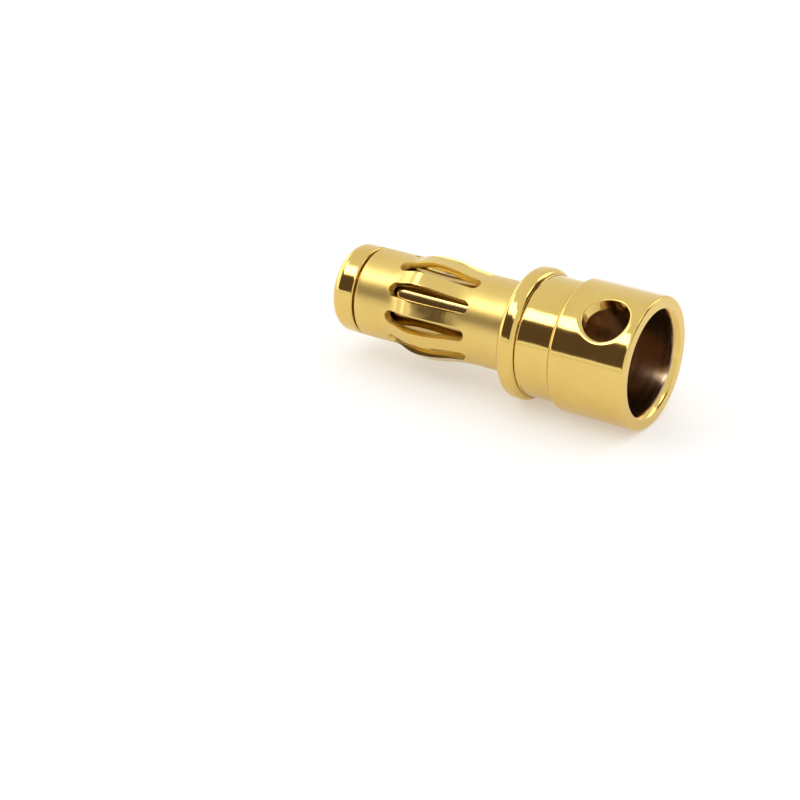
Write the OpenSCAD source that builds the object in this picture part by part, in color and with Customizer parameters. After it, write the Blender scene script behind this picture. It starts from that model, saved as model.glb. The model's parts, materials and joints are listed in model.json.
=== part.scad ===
// Male bullet connector for a battery lead: a turned plug body with a solder cup, and the
// sprung contact cage that is rolled round its core. The plug lies along +X: the contact end
// points to -X, the mouth of the solder cup to +X, and the origin is on the axis in the
// plane of the collar's front face, where the mating socket stops.

/* [Contact pin] */
// Length of the contact end ahead of the collar
contact_len = 7.1; // [6.6:0.1:9]
// Diameter of the head that keeps the cage on the core
head_d = 3.15; // [2.9:0.05:3.4]
// Length of the head
head_len = 0.95; // [0.7:0.05:1.4]
// Edge radius at the tip of the head
head_round = 0.3; // [0.1:0.05:0.6]
// Diameter of the core's waist, which leaves the strips room to flex
waist_d = 2.4; // [1.8:0.1:2.5]
// How far the waist runs in under each band of the cage
waist_reach = 0.3; // [0.1:0.05:0.6]

/* [Spring cage] */
// Outer diameter of the two plain bands
band_d = 3.15; // [3.05:0.05:3.4]
// Outer diameter over the bowed strips when nothing is mated
crown_d = 3.6; // [3.5:0.05:3.9]
// Thickness of the sheet
sheet = 0.25; // [0.15:0.01:0.3]
// Number of strips
strips = 10; // [8:1:11]
// Width of one strip
strip_w = 0.5; // [0.35:0.05:0.6]
// Length of the plain front band
front_band = 1.25; // [0.8:0.05:1.6]
// Length of the plain rear band
rear_band = 1.6; // [1:0.05:2]
// Share of the slots' length from their front ends to the crown
crown_share = 0.37; // [0.3:0.01:0.7]
// Width of the seam where the rolled sheet meets itself
seam_w = 0.12; // [0.06:0.02:0.3]
// Gap between the head and the cage
end_play = 0.12; // [0.05:0.01:0.25]
// Clearance between the cage and the surfaces that it seats on
cage_fit = 0.02; // [0.01:0.01:0.05]

/* [Collar and neck] */
// Diameter of the collar
collar_d = 4.6; // [4.4:0.1:5.4]
// Width of the collar
collar_w = 0.7; // [0.5:0.05:1.2]
// Edge radius of the collar
collar_round = 0.25; // [0.1:0.05:0.3]
// Diameter of the recessed neck between the collar and the cup
neck_d = 4.2; // [4:0.05:4.5]
// Length of the neck
neck_len = 1.25; // [0.6:0.05:2]

/* [Solder cup] */
// Outer diameter of the cup
cup_d = 4.6; // [4.3:0.1:5.4]
// Length of the cup behind the neck
cup_len = 2.85; // [2.3:0.05:6]
// Chamfer where the neck steps up to the cup
step_chamfer = 0.12; // [0.05:0.01:0.2]
// Diameter of the cup's bore
bore_d = 3.5; // [2.8:0.1:3.7]
// Depth of the bore at its full diameter
bore_depth = 3.6; // [2.4:0.1:3.9]
// Point angle of the drill that made the bore
drill_angle = 118; // [100:1:140]
// Chamfer round the bore's mouth
mouth_chamfer = 0.15; // [0.05:0.01:0.25]
// Edge radius round the outside of the rim
rim_round = 0.1; // [0.04:0.01:0.2]

/* [Solder port] */
// Diameter of the round hole in the cup's wall
port_d = 1.6; // [1:0.1:1.9]
// Distance from the rim to the middle of the hole
port_back = 1.2; // [1.15:0.05:1.7]
// Angle of the hole round the axis, up from the side of the cup
port_clock = 55; // [0:1:90]

/* [Hidden] */

turned_fn = 96;
arc_fn = 128;
hole_fn = 48;
margin = 1;
// Degrees by which one arc of a bend runs into the next, so that they are one solid
lap = 0.1;
// The body's facets start this far round from its lowest line, which lets it rest steadily
facet_turn = 4 * 360 / turned_fn;

collar_back = collar_w;
step_x = collar_back + neck_len;
rim_x = step_x + cup_len;
tip_x = -contact_len;
head_back = tip_x + head_len;
bore_floor = rim_x - bore_depth;
drill_tip = bore_floor - bore_d / 2 / tan(drill_angle / 2);

cage_front = head_back + end_play;
cage_back = -cage_fit;
band_r = band_d / 2;
crown_r = crown_d / 2;
seat_r = band_r - sheet - cage_fit;
slot_front = cage_front + front_band;
slot_back = cage_back - rear_band;
crown_x = slot_front + crown_share * (slot_back - slot_front);

pitch = 360 / strips;
// Neighbouring strips' facing edges meet at this radius, so slots widen outwards from it.
slot_root = strip_w / 2 / sin(pitch / 2);
// Half the width of a slot at a given radius
function slot_half(radius) = (radius - slot_root) * tan(pitch / 2);
end_r = slot_half(band_r);
cut_r = crown_r + margin;

// Radius of the two equal arcs that carry a curve from one level to the next
function s_radius(run, rise) = (run * run + rise * rise) / (4 * rise);

// Turns a profile drawn as [radius, x] round the X axis.
module turned() {
    rotate([0, 90, 0])
        rotate_extrude($fn = turned_fn)
            children();
}

// A solid disc's half profile, with its two outer corners rounded.
module disc_profile(radius, from, to, front_round, back_round) {
    translate([0, from])
        square([radius - front_round, front_round]);
    translate([0, from + front_round])
        square([radius, to - from - front_round - back_round]);
    translate([0, to - back_round])
        square([radius - back_round, back_round]);
    corner(radius, from, front_round, 1);
    corner(radius, to, back_round, -1);
}

// A quarter disc that rounds the outer corner at the given end.
module corner(radius, end, round_r, side) {
    translate([radius - round_r, end + side * round_r])
        intersection() {
            circle(r = round_r, $fn = hole_fn);
            translate([0, side > 0 ? -round_r : 0])
                square(round_r);
        }
}

// A straight piece of the core, with square ends.
module rod_profile(radius, from, to) {
    translate([0, from])
        square([radius, to - from]);
}

// The core under the cage: a land under each band and the waist between them.
module core_profile() {
    rod_profile(seat_r, head_back - margin / 4, slot_front - waist_reach);
    rod_profile(waist_d / 2, head_back, 0);
    rod_profile(seat_r, slot_back + waist_reach, collar_round);
}

// The cup's outside: the neck, the chamfered step and the cup.
module cup_profile() {
    neck_r = neck_d / 2;
    cup_r = cup_d / 2;
    polygon([
        [0, collar_back - collar_round],
        [neck_r, collar_back - collar_round],
        [neck_r, step_x],
        [cup_r - step_chamfer, step_x],
        [cup_r, step_x + step_chamfer],
        [cup_r, rim_x - rim_round],
        [0, rim_x - rim_round]
    ]);
    rod_profile(cup_r - rim_round, rim_x - rim_round, rim_x);
    corner(cup_r, rim_x, rim_round, -1);
}

// The drilled bore with its pointed floor and chamfered mouth.
module bore_profile() {
    bore_r = bore_d / 2;
    polygon([
        [0, drill_tip],
        [bore_r, bore_floor],
        [bore_r, rim_x - mouth_chamfer],
        [bore_r + mouth_chamfer, rim_x],
        [bore_r + mouth_chamfer, rim_x + margin],
        [0, rim_x + margin]
    ]);
}

// The solder port's drill, from the axis out through one wall of the cup.
module port_drill() {
    translate([rim_x - port_back, 0, 0])
        rotate([90 - port_clock, 0, 0])
            cylinder(d = port_d, h = cup_d, $fn = hole_fn);
}

module plug_body() {
    color("goldenrod")
        difference() {
            rotate([facet_turn, 0, 0])
                turned()
                    difference() {
                        union() {
                            disc_profile(head_d / 2, tip_x, head_back, head_round, head_round / 4);
                            core_profile();
                            disc_profile(collar_d / 2, 0, collar_back, collar_round, collar_round);
                            cup_profile();
                        }
                        bore_profile();
                    }
            port_drill();
        }
}

// A piece of sheet that follows an arc about the given centre, between two directions.
module arc_wall(centre, inner, outer, start, end) {
    reach = 2 * outer;
    translate(centre)
        intersection() {
            difference() {
                circle(r = outer, $fn = arc_fn);
                circle(r = inner, $fn = arc_fn);
            }
            polygon([
                [0, 0],
                reach * [cos(start), sin(start)],
                reach * [cos(end), sin(end)]
            ]);
        }
}

// The sheet's section from a band at foot_x up to the crown. side is 1 towards +X.
module bow_profile(foot_x, side) {
    run = abs(crown_x - foot_x);
    rise = crown_r - band_r;
    bend = s_radius(run, rise);
    lean = side * asin(run / 2 / bend);
    arc_wall([crown_r - bend, crown_x], bend - sheet, bend, 0, lean + side * lap);
    arc_wall([band_r + bend, foot_x], bend, bend + sheet, 180, 180 + lean);
}

module cage_profile() {
    translate([band_r - sheet, cage_front])
        square([sheet, front_band]);
    bow_profile(slot_front, -1);
    bow_profile(slot_back, 1);
    translate([band_r - sheet, slot_back])
        square([sheet, rear_band]);
}

// One slot, pointing up: flat sides parallel to the strips beside it, and round ends.
module slot_cut() {
    half = slot_half(cut_r);
    front = slot_front + end_r;
    back = slot_back - end_r;
    translate([front, 0, 0])
        rotate([90, 0, 90])
            linear_extrude(back - front)
                polygon([[0, slot_root], [half, cut_r], [-half, cut_r]]);
    for (x = [front, back])
        translate([x, 0, slot_root])
            cylinder(r1 = 0, r2 = half, h = cut_r - slot_root, $fn = hole_fn);
}

// The cut where the sheet's two long edges meet, on the side away from the solder port.
module seam_cut() {
    translate([cage_front - margin, 0, -seam_w / 2])
        cube([cage_back - cage_front + 2 * margin, cut_r, seam_w]);
}

module contact_cage() {
    color("gold")
        difference() {
            turned()
                cage_profile();
            for (i = [0 : strips - 1])
                rotate([90 + i * pitch, 0, 0])
                    slot_cut();
            seam_cut();
        }
}

plug_body();
contact_cage();
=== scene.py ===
import json
import math

import bmesh
import bpy
import numpy as np
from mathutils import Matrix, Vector


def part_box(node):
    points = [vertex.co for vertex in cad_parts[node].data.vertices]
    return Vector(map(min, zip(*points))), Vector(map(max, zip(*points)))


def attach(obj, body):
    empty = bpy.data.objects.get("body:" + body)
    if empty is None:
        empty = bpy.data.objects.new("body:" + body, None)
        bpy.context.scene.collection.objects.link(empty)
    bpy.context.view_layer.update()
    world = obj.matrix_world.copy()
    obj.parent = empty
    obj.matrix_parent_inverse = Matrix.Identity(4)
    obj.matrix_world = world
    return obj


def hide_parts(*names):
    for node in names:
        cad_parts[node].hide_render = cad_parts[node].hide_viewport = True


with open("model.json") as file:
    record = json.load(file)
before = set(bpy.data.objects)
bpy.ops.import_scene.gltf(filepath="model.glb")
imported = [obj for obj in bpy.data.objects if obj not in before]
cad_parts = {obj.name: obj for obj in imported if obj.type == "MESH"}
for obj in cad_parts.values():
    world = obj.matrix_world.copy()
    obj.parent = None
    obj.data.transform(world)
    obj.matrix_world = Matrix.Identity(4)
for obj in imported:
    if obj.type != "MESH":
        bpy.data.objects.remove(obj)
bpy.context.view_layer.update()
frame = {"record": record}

MM = 0.001
MOUNTS = {m["name"]: m for m in frame["record"]["mounts"]}
BODY_LO, BODY_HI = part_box("plug_body")
CAGE_LO, CAGE_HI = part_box("contact_cage")

# ---- sizes of the turned body ----
TIP_X = BODY_LO[0]
RIM_X = BODY_HI[0]
CUP_R = BODY_HI[2]
HEAD_R = 1.575 * MM
HEAD_LEN = 0.95 * MM
HEAD_ROUND = 0.42 * MM
HEAD_BACK_ROUND = 0.075 * MM
SEAT_R = 1.305 * MM
WAIST_R = 1.2 * MM
WAIST_REACH = 0.3 * MM
COLLAR_W = 0.7 * MM
COLLAR_ROUND = 0.25 * MM
NECK_R = 2.1 * MM
STEP_X = 1.95 * MM
STEP_CHAMFER = 0.12 * MM
STEP_ROUND = 0.12 * MM
RIM_ROUND = 0.1 * MM
BORE_R = MOUNTS["solder_cup"]["dims"]["r_mm"] * MM
MOUTH_CHAMFER = 0.15 * MM
BORE_DEPTH = 3.6 * MM
DRILL_ANGLE = math.radians(118)

# Radii of the edges that the tool only breaks: at a seat, at a land, at a step, in the bore
SEAT_EDGE = 0.02 * MM
LAND_EDGE = 0.03 * MM
STEP_EDGE = 0.04 * MM
BORE_EDGE = 0.05 * MM

# ---- the solder port ----
PORT = MOUNTS["solder_port"]
PORT_X = PORT["pos_m"][0]
PORT_R = PORT["dims"]["r_mm"] * MM
PORT_AXIS = Vector(PORT["axis"]).normalized()
PORT_SIDE = PORT_AXIS.cross(Vector((1, 0, 0))).normalized()
PORT_EDGE = 0.17 * MM
PORT_EDGE_DEPTH = 0.07 * MM
PORT_INNER_EDGE = 0.03 * MM

# ---- how finely the body is divided ----
ROUND_SEGMENTS = 240
ARC_STEP = math.radians(9)
# Distance from an arc's end to the point that keeps the next face flat
SUPPORT = 0.012 * MM
# The patch round the port: where it ends, and half its segments round the axis
PATCH_BACK = 2.5 * MM
PATCH_FRONT = RIM_X - MOUTH_CHAMFER
PATCH_ROWS = 16
PATCH_HALF = 24
# Rings of the patch, from the cup's outside through the port to the bore
CUP_RINGS = 9
PORT_EDGE_RINGS = 8
PORT_WALL_RINGS = 7
INNER_EDGE_RINGS = 3
BORE_RINGS = 7
# Below 1, this draws the rings together towards the hole
RING_SPACING = 0.8

# ---- sizes of the spring cage ----
STRIPS = 10
BAND_R = 1.575 * MM
CROWN_R = MOUNTS["contact"]["dims"]["r_mm"] * MM
SHEET = 0.25 * MM
STRIP_W = 0.5 * MM
FRONT_BAND = 1.25 * MM
REAR_BAND = 1.6 * MM
CROWN_SHARE = 0.37
SEAM_W = 0.12 * MM
STAMPED_EDGE = 0.035 * MM
CAGE_FRONT = CAGE_LO[0]
CAGE_BACK = CAGE_HI[0]
SLOT_FRONT = CAGE_FRONT + FRONT_BAND
SLOT_BACK = CAGE_BACK - REAR_BAND
CROWN_X = SLOT_FRONT + CROWN_SHARE * (SLOT_BACK - SLOT_FRONT)
HALF_PITCH = math.pi / STRIPS
SLOT_ROOT = STRIP_W / 2 / math.sin(HALF_PITCH)
# Length over which a strip turns from round, in the band, to flat across its width
FLATTENING = 0.5 * MM

# ---- how finely the cage is divided ----
BAND_ROWS = 7
STRIP_ROWS = 44
SHEET_COLUMNS = 7
CORNER_SPOKES = 7
# How far the squared part round a slot's end runs into the band
SQUARE_REACH = 0.24 * MM
SLOT_EDGE_STEPS = 12

# ---- tolerances ----
SAME_PLACE = 1e-9
SAME_RADIUS = 0.001 * MM
WELD_DISTANCE = 0.0004 * MM
CELL_JOIN = 0.0008 * MM
SEAM_REACH = 0.002 * MM

# Order of the body's three finishes; the bore's and the core's darker colours are painted
# shade
BRIGHT, IN_BORE, UNDER_CAGE = 0, 1, 2


def placed(name, data):
    """Adds an object to the scene, at the origin."""
    thing = bpy.data.objects.new(name, data)
    bpy.context.scene.collection.objects.link(thing)
    return thing


# ---------------------------------------------------------------- nodes
def math_node(tree, operation, *values):
    """A Math node. Each value is a number or a socket."""
    node = tree.nodes.new("ShaderNodeMath")
    node.operation = operation
    for socket, value in zip(node.inputs, values):
        if isinstance(value, (int, float)):
            socket.default_value = value
        else:
            tree.links.new(value, socket)
    return node.outputs[0]


def noise(tree, vector, scale, detail, rough=0.5):
    node = tree.nodes.new("ShaderNodeTexNoise")
    node.inputs["Scale"].default_value = scale
    node.inputs["Detail"].default_value = detail
    node.inputs["Roughness"].default_value = rough
    tree.links.new(vector, node.inputs["Vector"])
    return node.outputs["Fac"]


def map_range(tree, value, from_low, from_high, low=0, high=1, shape="LINEAR"):
    node = tree.nodes.new("ShaderNodeMapRange")
    node.interpolation_type = shape
    node.inputs["From Min"].default_value = from_low
    node.inputs["From Max"].default_value = from_high
    node.inputs["To Min"].default_value = low
    node.inputs["To Max"].default_value = high
    tree.links.new(value, node.inputs["Value"])
    return node.outputs["Result"]


def spread(tree, value, low, high):
    """Turns a noise's middle range into the range from low to high."""
    return map_range(tree, value, 0.3, 0.7, low, high)


def smooth_step(tree, value, off, on):
    """0 where the value is at off, 1 where it is at on."""
    return map_range(tree, value, off, on, shape="SMOOTHSTEP")


def mix_colour(tree, factor, first, second):
    """Mixes two colours, each given as three numbers or as a socket."""
    node = tree.nodes.new("ShaderNodeMix")
    node.data_type = "RGBA"
    tree.links.new(factor, node.inputs[0])
    for socket, colour in zip(node.inputs[6:8], (first, second)):
        if isinstance(colour, bpy.types.NodeSocket):
            tree.links.new(colour, socket)
        else:
            socket.default_value = (*colour, 1)
    return node.outputs[2]


# ---------------------------------------------------------------- materials
# Noise scales, in waves to the metre
PLATING_SCALE = 900
WAVE_SCALE = 1400
GRAIN_SCALE = 26000
TURNED_RINGS = 9000
DRILLED_RINGS = 6000
TABLE_SCALE = 40
# How far a face stands out from the bands before a socket rubs it bright
RUBBED_HEIGHT = 0.09 * MM


def new_material(name):
    mat = bpy.data.materials.new(name)
    mat.use_nodes = True
    tree = mat.node_tree
    tree.nodes.clear()
    out = tree.nodes.new("ShaderNodeOutputMaterial")
    shader = tree.nodes.new("ShaderNodeBsdfPrincipled")
    tree.links.new(shader.outputs["BSDF"], out.inputs["Surface"])
    return mat, tree, shader


def lathe_coordinates(tree):
    """The place on the object, its distance along the axis and its distance from the axis."""
    coords = tree.nodes.new("ShaderNodeTexCoord")
    split = tree.nodes.new("ShaderNodeSeparateXYZ")
    tree.links.new(coords.outputs["Object"], split.inputs[0])
    along, y, z = split.outputs
    squares = math_node(tree, "ADD", math_node(tree, "MULTIPLY", y, y),
                        math_node(tree, "MULTIPLY", z, z))
    return coords.outputs["Object"], along, math_node(tree, "SQRT", squares)


def gold_finish(name, pale, deep, roughness, ring_depth, wave_depth,
                ring_scale=TURNED_RINGS, satin=None):
    """Plated gold over metal: plating tone, burnish, turning rings and a faint waviness.
    The depths are in millimetres. satin gives the roughness of the low places, near the
    axis, where nothing rubs."""
    mat, tree, shader = new_material(name)
    place, along, out = lathe_coordinates(tree)

    rings = tree.nodes.new("ShaderNodeCombineXYZ")
    tree.links.new(along, rings.inputs[0])
    tree.links.new(out, rings.inputs[1])
    ring_noise = noise(tree, rings.outputs[0], ring_scale, 3, 0.6)
    plating = noise(tree, place, PLATING_SCALE, 3)
    wave = noise(tree, place, WAVE_SCALE, 1)
    grain = noise(tree, place, GRAIN_SCALE, 2)

    tree.links.new(mix_colour(tree, spread(tree, plating, 0, 1), pale, deep),
                   shader.inputs["Base Color"])
    burnish = spread(tree, ring_noise, roughness * 0.8, roughness * 1.25)
    speckle = spread(tree, grain, -0.15 * roughness, 0.15 * roughness)
    finish = math_node(tree, "ADD", burnish, speckle)
    if satin:
        unrubbed = map_range(tree, out, BAND_R, BAND_R + RUBBED_HEIGHT, satin - roughness, 0)
        finish = math_node(tree, "ADD", finish, unrubbed)
    tree.links.new(finish, shader.inputs["Roughness"])
    shader.inputs["Metallic"].default_value = 1

    height = math_node(tree, "ADD", math_node(tree, "MULTIPLY", ring_noise, ring_depth),
                       math_node(tree, "MULTIPLY", wave, wave_depth))
    bump = tree.nodes.new("ShaderNodeBump")
    bump.inputs["Strength"].default_value = 1
    bump.inputs["Distance"].default_value = 1 * MM
    tree.links.new(height, bump.inputs["Height"])
    tree.links.new(bump.outputs[0], shader.inputs["Normal"])
    return mat


def turned_gold():
    """The bright outside of the body."""
    return gold_finish("turned_gold", (0.73, 0.525, 0.16), (0.69, 0.485, 0.14),
                       0.08, 0.0008, 0.005)


def drilled_and_shaded_gold():
    """The wall of the bore: duller from drilling, and darker and browner as painted shade in
    the bore.
    """
    return gold_finish("drilled_and_shaded_gold", (0.54, 0.4, 0.27), (0.47, 0.34, 0.22),
                       0.2, 0.0012, 0.004, DRILLED_RINGS)


def shaded_core_gold():
    """The core that shows through the cage's slots; its darker colour is painted shade under
    the cage's strips.
    """
    return gold_finish("shaded_core_gold", (0.6, 0.44, 0.17), (0.53, 0.38, 0.14),
                       0.1, 0.0008, 0.004)


def sheet_gold():
    """The cage's sheet: satin, and rubbed bright where the strips stand out."""
    return gold_finish("sheet_gold", (0.74, 0.54, 0.17), (0.7, 0.5, 0.15),
                       0.1, 0.0004, 0.006, satin=0.34)


def floor_white():
    """A white table top, lit softly from below as well as from above."""
    mat, tree, shader = new_material("floor_white")
    coords = tree.nodes.new("ShaderNodeTexCoord")
    grain = noise(tree, coords.outputs["Object"], TABLE_SCALE, 2)
    tree.links.new(mix_colour(tree, grain, (0.56, 0.58, 0.6), (0.58, 0.6, 0.62)),
                   shader.inputs["Base Color"])
    shader.inputs["Roughness"].default_value = 0.9
    shader.inputs["Specular IOR Level"].default_value = 0.1
    shader.inputs["Emission Color"].default_value = (1, 0.9, 0.79, 1)
    shader.inputs["Emission Strength"].default_value = 0.39
    return mat


# ---------------------------------------------------------------- the turned body
def arc_offsets(first, last, sweep, count):
    """Points along an arc, as offsets from its centre."""
    offsets = []
    for k in range(count + 1):
        t = k / count
        offsets.append((math.sin((1 - t) * sweep) * first + math.sin(t * sweep) * last)
                       / math.sin(sweep))
    return offsets


def rounded_line(corners):
    """Follows corner points given as (radius, x, edge radius), rounding each with an arc.
    A supporting point lies just outside each arc so that flat faces stay flat."""
    line = []
    for i, (r, x, edge) in enumerate(corners):
        here = np.array((r, x))
        if edge == 0:
            line.append(here)
            continue
        before = np.array(corners[i - 1][:2]) - here
        after = np.array(corners[i + 1][:2]) - here
        before /= np.linalg.norm(before)
        after /= np.linalg.norm(after)
        half = math.acos(np.clip(before @ after, -1, 1)) / 2
        reach = edge / math.tan(half)
        middle = (before + after) / np.linalg.norm(before + after)
        centre = here + middle * edge / math.sin(half)
        start, end = here + before * reach, here + after * reach
        sweep = math.pi - 2 * half
        count = max(2, round(sweep / ARC_STEP))
        line.append(start + before * SUPPORT)
        line += [centre + offset
                 for offset in arc_offsets(start - centre, end - centre, sweep, count)]
        line.append(end + after * SUPPORT)
    return line


def patch_stations():
    """The places along the axis of the patch's rows."""
    return np.linspace(PATCH_BACK, PATCH_FRONT, PATCH_ROWS + 1)


def body_profile():
    """The body's half section as (radius, x), from the nose to the drill's point."""
    head_back = TIP_X + HEAD_LEN
    land_front = SLOT_FRONT - WAIST_REACH
    land_back = SLOT_BACK + WAIST_REACH
    drill_tip = RIM_X - BORE_DEPTH - BORE_R / math.tan(DRILL_ANGLE / 2)
    outside = rounded_line([
        (0, TIP_X, 0),
        (HEAD_R, TIP_X, HEAD_ROUND),
        (HEAD_R, head_back, HEAD_BACK_ROUND),
        (SEAT_R, head_back, SEAT_EDGE),
        (SEAT_R, land_front, LAND_EDGE),
        (WAIST_R, land_front, LAND_EDGE),
        (WAIST_R, land_back, LAND_EDGE),
        (SEAT_R, land_back, LAND_EDGE),
        (SEAT_R, 0, SEAT_EDGE),
        (CUP_R, 0, COLLAR_ROUND),
        (CUP_R, COLLAR_W, COLLAR_ROUND),
        (NECK_R, COLLAR_W, STEP_EDGE),
        (NECK_R, STEP_X, SEAT_EDGE),
        (CUP_R - STEP_CHAMFER, STEP_X, STEP_EDGE),
        (CUP_R, STEP_X + STEP_CHAMFER, STEP_ROUND),
        (CUP_R, PATCH_BACK, 0),
    ])
    outer_rows = [np.array((CUP_R, x)) for x in patch_stations()[1:]]
    rim = rounded_line([
        (CUP_R, PATCH_FRONT, 0),
        (CUP_R, RIM_X, RIM_ROUND),
        (BORE_R + MOUTH_CHAMFER, RIM_X, LAND_EDGE),
        (BORE_R, PATCH_FRONT, 0),
    ])
    inner_rows = [np.array((BORE_R, x)) for x in patch_stations()[::-1][1:]]
    floor = rounded_line([
        (BORE_R, PATCH_BACK, 0),
        (BORE_R, RIM_X - BORE_DEPTH, BORE_EDGE),
        (0, drill_tip, 0),
    ])
    return outside + outer_rows + rim[1:] + inner_rows + floor[1:]


def port_point(radius, angle, x):
    """A point of a cylinder, at an angle round the axis from the port's direction."""
    d = PORT_AXIS * math.cos(angle) + PORT_SIDE * math.sin(angle)
    return Vector((x, d.y * radius, d.z * radius))


def patch_outline():
    """The outline of the patch round the port as (angle, x), once round."""
    step = 2 * math.pi / ROUND_SEGMENTS
    xs = patch_stations()
    edge = PATCH_HALF * step
    angles = [k * step for k in range(-PATCH_HALF, PATCH_HALF + 1)]
    return ([(edge, x) for x in xs[:-1]] + [(a, xs[-1]) for a in angles[:0:-1]]
            + [(-edge, x) for x in xs[:0:-1]] + [(a, xs[0]) for a in angles[:-1]])


def wall_rings(radius, hole_r, steps):
    """Rings on a cylinder from the patch's outline in to a round hole."""
    rings = []
    for k in range(steps + 1):
        t = (k / steps) ** RING_SPACING
        ring = []
        for angle, x in patch_outline():
            turn = math.atan2(x - PORT_X, radius * math.sin(angle))
            hole_angle = math.asin(hole_r * math.cos(turn) / radius)
            hole_x = PORT_X + hole_r * math.sin(turn)
            ring.append(port_point(radius, angle + t * (hole_angle - angle),
                                   x + t * (hole_x - x)))
        rings.append(ring)
    return rings


def edge_rings(radius, width, depth, steps):
    """Rings round the edge where the port meets a cylinder, from outside it into the hole."""
    rings = []
    for k in range(1, steps + 1):
        s = k / steps * math.pi / 2
        hole_r = PORT_R + width * (1 - math.sin(s))
        down = depth * (1 - math.cos(s))
        ring = []
        for angle, x in patch_outline():
            turn = math.atan2(x - PORT_X, radius * math.sin(angle))
            aside = hole_r * math.cos(turn)
            height = math.sqrt(radius * radius - aside * aside) - down
            ring.append(Vector((PORT_X + hole_r * math.sin(turn), 0, 0))
                        + PORT_AXIS * height + PORT_SIDE * aside)
        rings.append(ring)
    return rings


def port_patch():
    """Every ring of the patch, from the outer wall through the port to the bore's wall."""
    cup = wall_rings(CUP_R, PORT_R + PORT_EDGE, CUP_RINGS)
    outer_edge = edge_rings(CUP_R, PORT_EDGE, PORT_EDGE_DEPTH, PORT_EDGE_RINGS)
    inner_edge = edge_rings(BORE_R, PORT_INNER_EDGE, -PORT_INNER_EDGE, INNER_EDGE_RINGS)
    bore = wall_rings(BORE_R, PORT_R + PORT_INNER_EDGE, BORE_RINGS)
    wall = [[a.lerp(b, k / PORT_WALL_RINGS) for a, b in zip(outer_edge[-1], inner_edge[-1])]
            for k in range(1, PORT_WALL_RINGS)]
    return cup + outer_edge + wall + inner_edge[::-1] + bore[::-1]


def add_turned_faces(bm):
    """Sweeps the profile round the axis, leaving out the patch that the port takes up."""
    line = body_profile()
    rings = []
    for r, x in line:
        if r < SAME_PLACE:
            rings.append([bm.verts.new((x, 0, 0))] * ROUND_SEGMENTS)
        else:
            rings.append([bm.verts.new(port_point(r, 2 * math.pi * k / ROUND_SEGMENTS, x))
                          for k in range(ROUND_SEGMENTS)])
    in_bore = False
    for (r0, x0), (r1, x1), ring, next_ring in zip(line, line[1:], rings, rings[1:]):
        patched = (abs(r0 - r1) < SAME_PLACE and min(x0, x1) > PATCH_BACK - SAME_PLACE
                   and max(x0, x1) < PATCH_FRONT + SAME_PLACE)
        # Faces in the bore take the bore material, whose darker, browner colour is painted
        # shade
        in_bore = in_bore or (r0 < BORE_R + SAME_RADIUS and x0 > PATCH_BACK)
        # Faces of the core under the cage take the core material, whose darker colour is
        # painted shade
        under_cage = max(r0, r1) < SEAT_R + SAME_RADIUS and x1 < 0
        for k in range(ROUND_SEGMENTS):
            if patched and (k < PATCH_HALF or k >= ROUND_SEGMENTS - PATCH_HALF):
                continue
            n = (k + 1) % ROUND_SEGMENTS
            corners = [ring[k], ring[n], next_ring[n], next_ring[k]]
            face = bm.faces.new(list(dict.fromkeys(corners)))
            face.material_index = IN_BORE if in_bore else UNDER_CAGE if under_cage else BRIGHT


def add_port_faces(bm):
    """Joins the rings of the port's patch."""
    patch = [[bm.verts.new(p) for p in ring] for ring in port_patch()]
    count = len(patch[0])
    for i in range(len(patch) - 1):
        for k in range(count):
            n = (k + 1) % count
            face = bm.faces.new((patch[i][k], patch[i][n], patch[i + 1][n], patch[i + 1][k]))
            face.material_index = IN_BORE if i >= len(patch) - 1 - BORE_RINGS else BRIGHT


def finished_mesh(bm, name, materials):
    """Closes the mesh, turns its faces outward and makes an object of it."""
    bmesh.ops.remove_doubles(bm, verts=bm.verts, dist=WELD_DISTANCE)
    bmesh.ops.recalc_face_normals(bm, faces=bm.faces)
    for face in bm.faces:
        face.smooth = True
    mesh = bpy.data.meshes.new(name)
    bm.to_mesh(mesh)
    bm.free()
    piece = placed(name, mesh)
    for mat in materials:
        mesh.materials.append(mat)
    return piece


def plug_body(materials):
    """The turned body: the profile swept round the axis, with the port's patch let in."""
    bm = bmesh.new()
    add_turned_faces(bm)
    add_port_faces(bm)
    return finished_mesh(bm, "plug_body_turned", materials)


# ---------------------------------------------------------------- the spring cage
def bow_radius(x):
    """Radius of the sheet's outer face: straight bands, and two equal arcs up to the crown."""
    foot = SLOT_FRONT if x < CROWN_X else SLOT_BACK
    if x <= SLOT_FRONT or x >= SLOT_BACK:
        return BAND_R
    run, rise = abs(CROWN_X - foot), CROWN_R - BAND_R
    bend = (run * run + rise * rise) / (4 * rise)
    if abs(x - foot) < run / 2:
        return BAND_R + bend - math.sqrt(bend * bend - (x - foot) ** 2)
    return CROWN_R - bend + math.sqrt(bend * bend - (x - CROWN_X) ** 2)


def flatness(x):
    """How far the strips are pressed flat across their width: not at all in the bands."""
    into = min(x - SLOT_FRONT, SLOT_BACK - x) / FLATTENING
    into = min(1, max(0, into))
    return into * into * (3 - 2 * into)


def slot_half(radius):
    """Half the width of a slot at a given radius."""
    return (radius - SLOT_ROOT) * math.tan(HALF_PITCH)


def slot_edge(centre_x, turn, depth):
    """A point of a slot's round end at a level of the sheet, as (x, angle from its middle)."""
    x, y = centre_x, 0
    for _ in range(SLOT_EDGE_STEPS):
        radius = bow_radius(x) - depth
        half = slot_half(math.sqrt(radius * radius - y * y))
        x, y = centre_x - half * math.cos(turn), half * math.sin(turn)
    return x, math.asin(y / (bow_radius(x) - depth))


def between(first, last, count):
    """Points from one (x, angle) to another, both included."""
    (x0, a0), (x1, a1) = first, last
    return [(x0 + (x1 - x0) * j / count, a0 + (a1 - a0) * j / count) for j in range(count + 1)]


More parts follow.
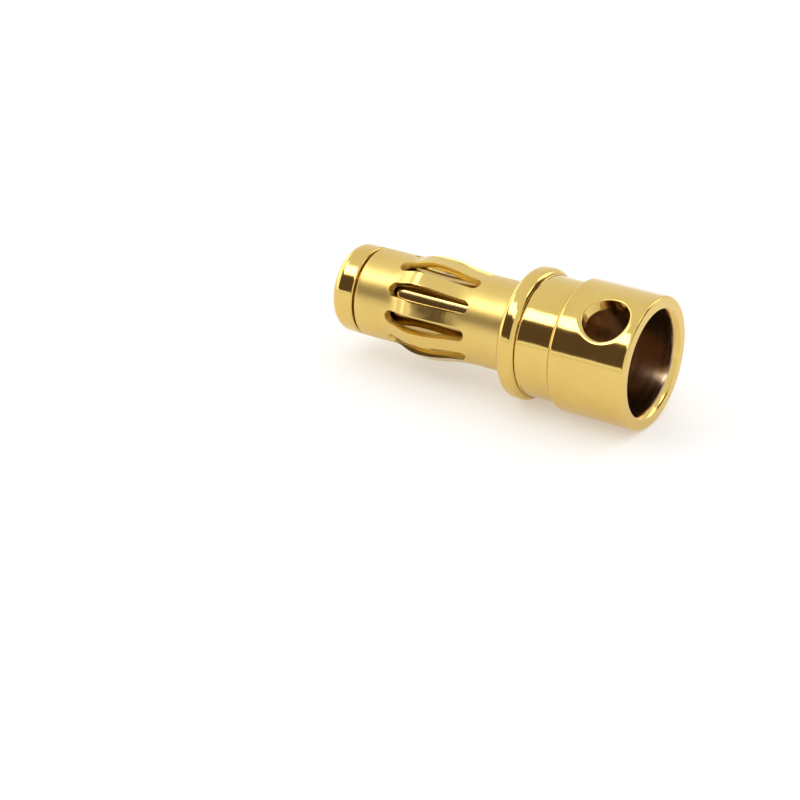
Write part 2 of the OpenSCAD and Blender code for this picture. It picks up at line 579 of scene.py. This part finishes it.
def band_rows(side, band_end, slot_end):
    """Rows of a plain band, from the sheet's end to the squared part round the slot's end."""
    square_x = slot_end - side * SQUARE_REACH
    return [[(band_end + (square_x - band_end) * i / BAND_ROWS, HALF_PITCH * j / CORNER_SPOKES)
             for j in range(CORNER_SPOKES + 1)] for i in range(BAND_ROWS + 1)]


def slot_end_rows(side, slot_end, depth):
    """Spokes from a slot's round end out to the squared part round it."""
    square_x = slot_end - side * SQUARE_REACH
    centre_x = slot_end + side * slot_half(BAND_R)
    spokes = 2 * CORNER_SPOKES
    rows = []
    for s in range(spokes + 1):
        turn = math.pi / 2 * s / spokes
        inner = slot_edge(centre_x, turn if side > 0 else math.pi - turn, depth)
        if s <= CORNER_SPOKES:
            outer = square_x, HALF_PITCH * s / CORNER_SPOKES
        else:
            along = (s - CORNER_SPOKES) / CORNER_SPOKES
            outer = square_x + (centre_x - square_x) * along, HALF_PITCH
        rows.append(between(inner, outer, SHEET_COLUMNS))
    return rows


def strip_rows(depth):
    """Rows of half a strip, from the slot's straight side to the strip's middle."""
    front_x = SLOT_FRONT + slot_half(BAND_R)
    back_x = SLOT_BACK - slot_half(BAND_R)
    rows = []
    for i in range(STRIP_ROWS + 1):
        x = front_x + (back_x - front_x) * i / STRIP_ROWS
        edge = HALF_PITCH - math.asin(STRIP_W / 2 / (bow_radius(x) - depth))
        rows.append(between((x, edge), (x, HALF_PITCH), SHEET_COLUMNS))
    return rows


def half_cell(depth):
    """Half of one pitch at one level of the sheet, as five blocks of rows of points.
    A point is (x, angle from the slot's middle). The blocks run from front to back."""
    return [band_rows(1, CAGE_FRONT, SLOT_FRONT), slot_end_rows(1, SLOT_FRONT, depth),
            strip_rows(depth),
            slot_end_rows(-1, SLOT_BACK, depth), band_rows(-1, CAGE_BACK, SLOT_BACK)]


def sheet_point(x, angle, depth, mirror):
    """A point of the sheet on either side of a strip that points up."""
    turn = (HALF_PITCH - angle) * mirror
    radius = (bow_radius(x) - depth) * (1 + flatness(x) * (1 / math.cos(turn) - 1))
    return Vector((x, radius * math.sin(turn), radius * math.cos(turn)))


def cage_cell():
    """One pitch of the sheet, from slot to slot with a strip between: both faces and the
    cut edges."""
    bm = bmesh.new()
    levels = [(0, half_cell(0)), (SHEET, half_cell(SHEET))]
    for mirror in (1, -1):
        outer, inner = [[[[bm.verts.new(sheet_point(x, a, depth, mirror)) for x, a in row]
                          for row in block] for block in blocks] for depth, blocks in levels]
        for block in outer + inner:
            for row, following in zip(block, block[1:]):
                for j in range(len(row) - 1):
                    bm.faces.new((row[j], row[j + 1], following[j + 1], following[j]))
        for block, under in zip(outer[1:4], inner[1:4]):
            for i in range(len(block) - 1):
                bm.faces.new((block[i][0], block[i + 1][0], under[i + 1][0], under[i][0]))
        for block, under in ((outer[0], inner[0]), (outer[4], inner[4])):
            for j in range(len(block[0]) - 1):
                bm.faces.new((block[0][j], block[0][j + 1], under[0][j + 1], under[0][j]))
    bmesh.ops.remove_doubles(bm, verts=bm.verts, dist=WELD_DISTANCE)
    mesh = bpy.data.meshes.new("cage_cell")
    bm.to_mesh(mesh)
    bm.free()
    return placed("cage_cell", mesh)


def ring_of_cells_tree():
    """Repeats the cell round the X axis and joins the copies into one sheet."""
    tree = bpy.data.node_groups.new("ring_of_cells", "GeometryNodeTree")
    face = tree.interface
    face.new_socket("Geometry", in_out="INPUT", socket_type="NodeSocketGeometry")
    count = face.new_socket("Strips", in_out="INPUT", socket_type="NodeSocketInt")
    start = face.new_socket("Start angle", in_out="INPUT", socket_type="NodeSocketFloat")
    join = face.new_socket("Join distance", in_out="INPUT", socket_type="NodeSocketFloat")
    finish = face.new_socket("Finish", in_out="INPUT", socket_type="NodeSocketMaterial")
    face.new_socket("Geometry", in_out="OUTPUT", socket_type="NodeSocketGeometry")

    nodes, links = tree.nodes, tree.links
    given = nodes.new("NodeGroupInput")
    result = nodes.new("NodeGroupOutput")
    points = nodes.new("GeometryNodeMeshLine")
    points.inputs["Offset"].default_value = (0, 0, 0)
    index = nodes.new("GeometryNodeInputIndex")
    pitch = math_node(tree, "DIVIDE", 2 * math.pi, given.outputs["Strips"])
    turn = math_node(tree, "MULTIPLY_ADD", index.outputs[0], pitch,
                     given.outputs["Start angle"])
    euler = nodes.new("ShaderNodeCombineXYZ")
    copies = nodes.new("GeometryNodeInstanceOnPoints")
    real = nodes.new("GeometryNodeRealizeInstances")
    merge = nodes.new("GeometryNodeMergeByDistance")
    material = nodes.new("GeometryNodeSetMaterial")

    links.new(given.outputs["Strips"], points.inputs["Count"])
    links.new(turn, euler.inputs[0])
    links.new(points.outputs[0], copies.inputs["Points"])
    links.new(given.outputs["Geometry"], copies.inputs["Instance"])
    links.new(euler.outputs[0], copies.inputs["Rotation"])
    links.new(copies.outputs[0], real.inputs[0])
    links.new(real.outputs[0], merge.inputs["Geometry"])
    links.new(given.outputs["Join distance"], merge.inputs["Distance"])
    links.new(merge.outputs[0], material.inputs["Geometry"])
    links.new(given.outputs["Finish"], material.inputs["Material"])
    links.new(material.outputs[0], result.inputs[0])
    return tree, {"strips": count, "start": start, "join": join, "finish": finish}


def ring_of_cells(material):
    """The mesh of all the cells, joined and not yet opened."""
    cell = cage_cell()
    tree, sockets = ring_of_cells_tree()
    modifier = cell.modifiers.new("ring", "NODES")
    modifier.node_group = tree
    modifier[sockets["strips"].identifier] = STRIPS
    modifier[sockets["start"].identifier] = HALF_PITCH - math.pi / 2
    modifier[sockets["join"].identifier] = CELL_JOIN
    modifier[sockets["finish"].identifier] = material
    evaluated = cell.evaluated_get(bpy.context.evaluated_depsgraph_get())
    mesh = bpy.data.meshes.new_from_object(evaluated)
    cell.modifiers.clear()
    bpy.data.objects.remove(cell)
    return mesh


def open_seam(bm):
    """Parts the sheet along the +Y side and closes the two long edges that this leaves."""
    def on_seam(vert):
        return abs(vert.co.z) < SEAM_REACH and vert.co.y > 0

    bmesh.ops.split_edges(bm, edges=[e for e in bm.edges if all(map(on_seam, e.verts))])
    for vert in filter(on_seam, bm.verts):
        side = sum(f.calc_center_median().z for f in vert.link_faces)
        vert.co.z += math.copysign(SEAM_W / 2, side)
    bmesh.ops.holes_fill(bm, edges=[e for e in bm.edges if e.is_boundary], sides=0)


def contact_cage(material):
    """The rolled cage: one cell repeated, open along the seam, with its cut edges eased."""
    mesh = ring_of_cells(material)
    bm = bmesh.new()
    bm.from_mesh(mesh)
    bpy.data.meshes.remove(mesh)
    open_seam(bm)
    for face in bm.faces:
        face.material_index = 0
    piece = finished_mesh(bm, "contact_cage_sheet", [material])
    edge = piece.modifiers.new("stamped_edge", "BEVEL")
    edge.width = STAMPED_EDGE
    edge.segments = 3
    edge.limit_method = "ANGLE"
    edge.angle_limit = math.radians(50)
    return piece


# ---------------------------------------------------------------- the studio
# Brightness of the room's parts
PLAIN_LEVEL = 1.0
DIM_COLOUR = (0.125, 0.09, 0.075)
SKIRT_LEVEL = 1.4
BOX_LEVEL = 3.6
SIDE_LEVEL = 1.9
WINDOW_LEVEL = 2.4
FILL_LEVEL = 1.22
BACKDROP_LEVEL = 1.05

FLOOR_HALF = 0.6

# The softbox high on the left: its sides, power, and place
KEY_SIDES = (0.16, 0.08)
KEY_POWER = 0.06
KEY_COLOUR = (1, 0.98, 0.95)
KEY_DIRECTION = (-0.48, -0.42, 0.77)
KEY_DISTANCE = 0.35

# The camera: its place from the middle of the rim, and the way it looks
LENS_MM = 107.5
SENSOR_MM = 36
EYE_FROM_RIM = Vector((31.27, -64.16, 34.14)) * MM
LOOK = Vector((-0.4834, 0.7524, -0.4474))


def studio_floor():
    """A plain white table top under the plug."""
    mesh = bpy.data.meshes.new("studio_floor")
    half, z = FLOOR_HALF, min(BODY_LO[2], CAGE_LO[2])
    mesh.from_pydata([(-half, -half, z), (half, -half, z), (half, half, z), (-half, half, z)],
                     [], [(0, 1, 2, 3)])
    floor = placed("studio_floor", mesh)
    mesh.materials.append(floor_white())


def room_openings(tree, x, y):
    """1 inside the two dim openings, at the front and at the back on the right."""
    front = math_node(tree, "MULTIPLY", smooth_step(tree, x, -0.8, -0.68),
                      smooth_step(tree, x, 0.3, 0.15))
    front = math_node(tree, "MULTIPLY", front, smooth_step(tree, y, 0.02, -0.1))
    back = math_node(tree, "MULTIPLY", smooth_step(tree, x, 0.54, 0.65),
                     smooth_step(tree, y, 0.0, 0.15))
    return math_node(tree, "MAXIMUM", front, back)


def opening_bands(tree, z):
    """What stands in an opening, from the floor up: a pale skirt, the dim part, a row of
    softboxes and the plain wall over them."""
    white, dim = np.ones(3), np.array(DIM_COLOUR)
    # elevation in degrees, and the colour there
    levels = [(-90, PLAIN_LEVEL * white), (3, PLAIN_LEVEL * white), (5, SKIRT_LEVEL * white),
              (7.5, dim), (36, dim), (40, 2 * dim), (43, BOX_LEVEL * white),
              (54, BOX_LEVEL * white), (57, PLAIN_LEVEL * white), (90, PLAIN_LEVEL * white)]
    bands = tree.nodes.new("ShaderNodeValToRGB")
    stops = bands.color_ramp.elements
    while len(stops) < len(levels):
        stops.new(0.5)
    for stop, (elevation, colour) in zip(stops, levels):
        stop.position = 0.5 + 0.5 * math.sin(math.radians(elevation))
        stop.color = (*(colour / BOX_LEVEL), 1)
    tree.links.new(math_node(tree, "MULTIPLY_ADD", z, 0.5, 0.5), bands.inputs[0])
    return bands.outputs[0]


def room_walls(tree, x, y, z):
    """The plain walls, brighter on the left and at a window high at the back."""
    def level(brightness):
        return brightness / BOX_LEVEL * np.ones(3)

    side = mix_colour(tree, smooth_step(tree, x, -0.72, -0.86),
                      level(PLAIN_LEVEL), level(SIDE_LEVEL))
    window = math_node(tree, "MULTIPLY", smooth_step(tree, x, 0.28, 0.36),
                       smooth_step(tree, y, 0.5, 0.62))
    window = math_node(tree, "MULTIPLY", window, smooth_step(tree, z, 0.1, 0.25))
    return mix_colour(tree, window, side, level(WINDOW_LEVEL))


def studio_world():
    """A white room with two dim openings, each with a row of softboxes over it. The metal
    mirrors the room; the floor is lit evenly and the backdrop is an even white."""
    world = bpy.data.worlds.new("studio")
    world.use_nodes = True
    tree = world.node_tree
    tree.nodes.clear()
    out = tree.nodes.new("ShaderNodeOutputWorld")
    coords = tree.nodes.new("ShaderNodeTexCoord")
    split = tree.nodes.new("ShaderNodeSeparateXYZ")
    tree.links.new(coords.outputs["Generated"], split.inputs[0])
    x, y, z = split.outputs
    colour = mix_colour(tree, room_openings(tree, x, y), room_walls(tree, x, y, z),
                        opening_bands(tree, z))
    room = tree.nodes.new("ShaderNodeBackground")
    room.inputs["Strength"].default_value = BOX_LEVEL
    tree.links.new(colour, room.inputs["Color"])

    path = tree.nodes.new("ShaderNodeLightPath")
    lit = room.outputs[0]
    for ray, strength in (("Is Diffuse Ray", FILL_LEVEL), ("Is Camera Ray", BACKDROP_LEVEL)):
        even = tree.nodes.new("ShaderNodeBackground")
        even.inputs["Color"].default_value = (1, 1, 1, 1)
        even.inputs["Strength"].default_value = strength
        mix = tree.nodes.new("ShaderNodeMixShader")
        tree.links.new(path.outputs[ray], mix.inputs[0])
        tree.links.new(lit, mix.inputs[1])
        tree.links.new(even.outputs[0], mix.inputs[2])
        lit = mix.outputs[0]
    tree.links.new(lit, out.inputs[0])
    bpy.context.scene.world = world


def soft_key():
    """A softbox high on the left."""
    light = bpy.data.lights.new("soft_key", "AREA")
    light.shape = "RECTANGLE"
    light.size, light.size_y = KEY_SIDES
    light.energy = KEY_POWER
    light.color = KEY_COLOUR
    away = Vector(KEY_DIRECTION).normalized()
    lamp = placed("soft_key", light)
    lamp.location = away * KEY_DISTANCE
    lamp.rotation_euler = away.to_track_quat("Z", "Y").to_euler()


def camera():
    """The camera, in front of the plug on the cup's side, looking down at it."""
    lens = bpy.data.cameras.new("camera")
    lens.lens = LENS_MM
    lens.sensor_width = SENSOR_MM
    lens.clip_start = 0.001
    lens.clip_end = 10
    eye = placed("camera", lens)
    eye.location = Vector((RIM_X, 0, 0)) + EYE_FROM_RIM
    eye.rotation_euler = LOOK.to_track_quat("-Z", "Y").to_euler()
    bpy.context.scene.camera = eye


camera()
studio_floor()
studio_world()
soft_key()
bpy.context.scene.view_settings.view_transform = "Standard"

body = plug_body([turned_gold(), drilled_and_shaded_gold(), shaded_core_gold()])
cage = contact_cage(sheet_gold())
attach(body, "root")
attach(cage, "root")
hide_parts("plug_body")
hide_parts("contact_cage")
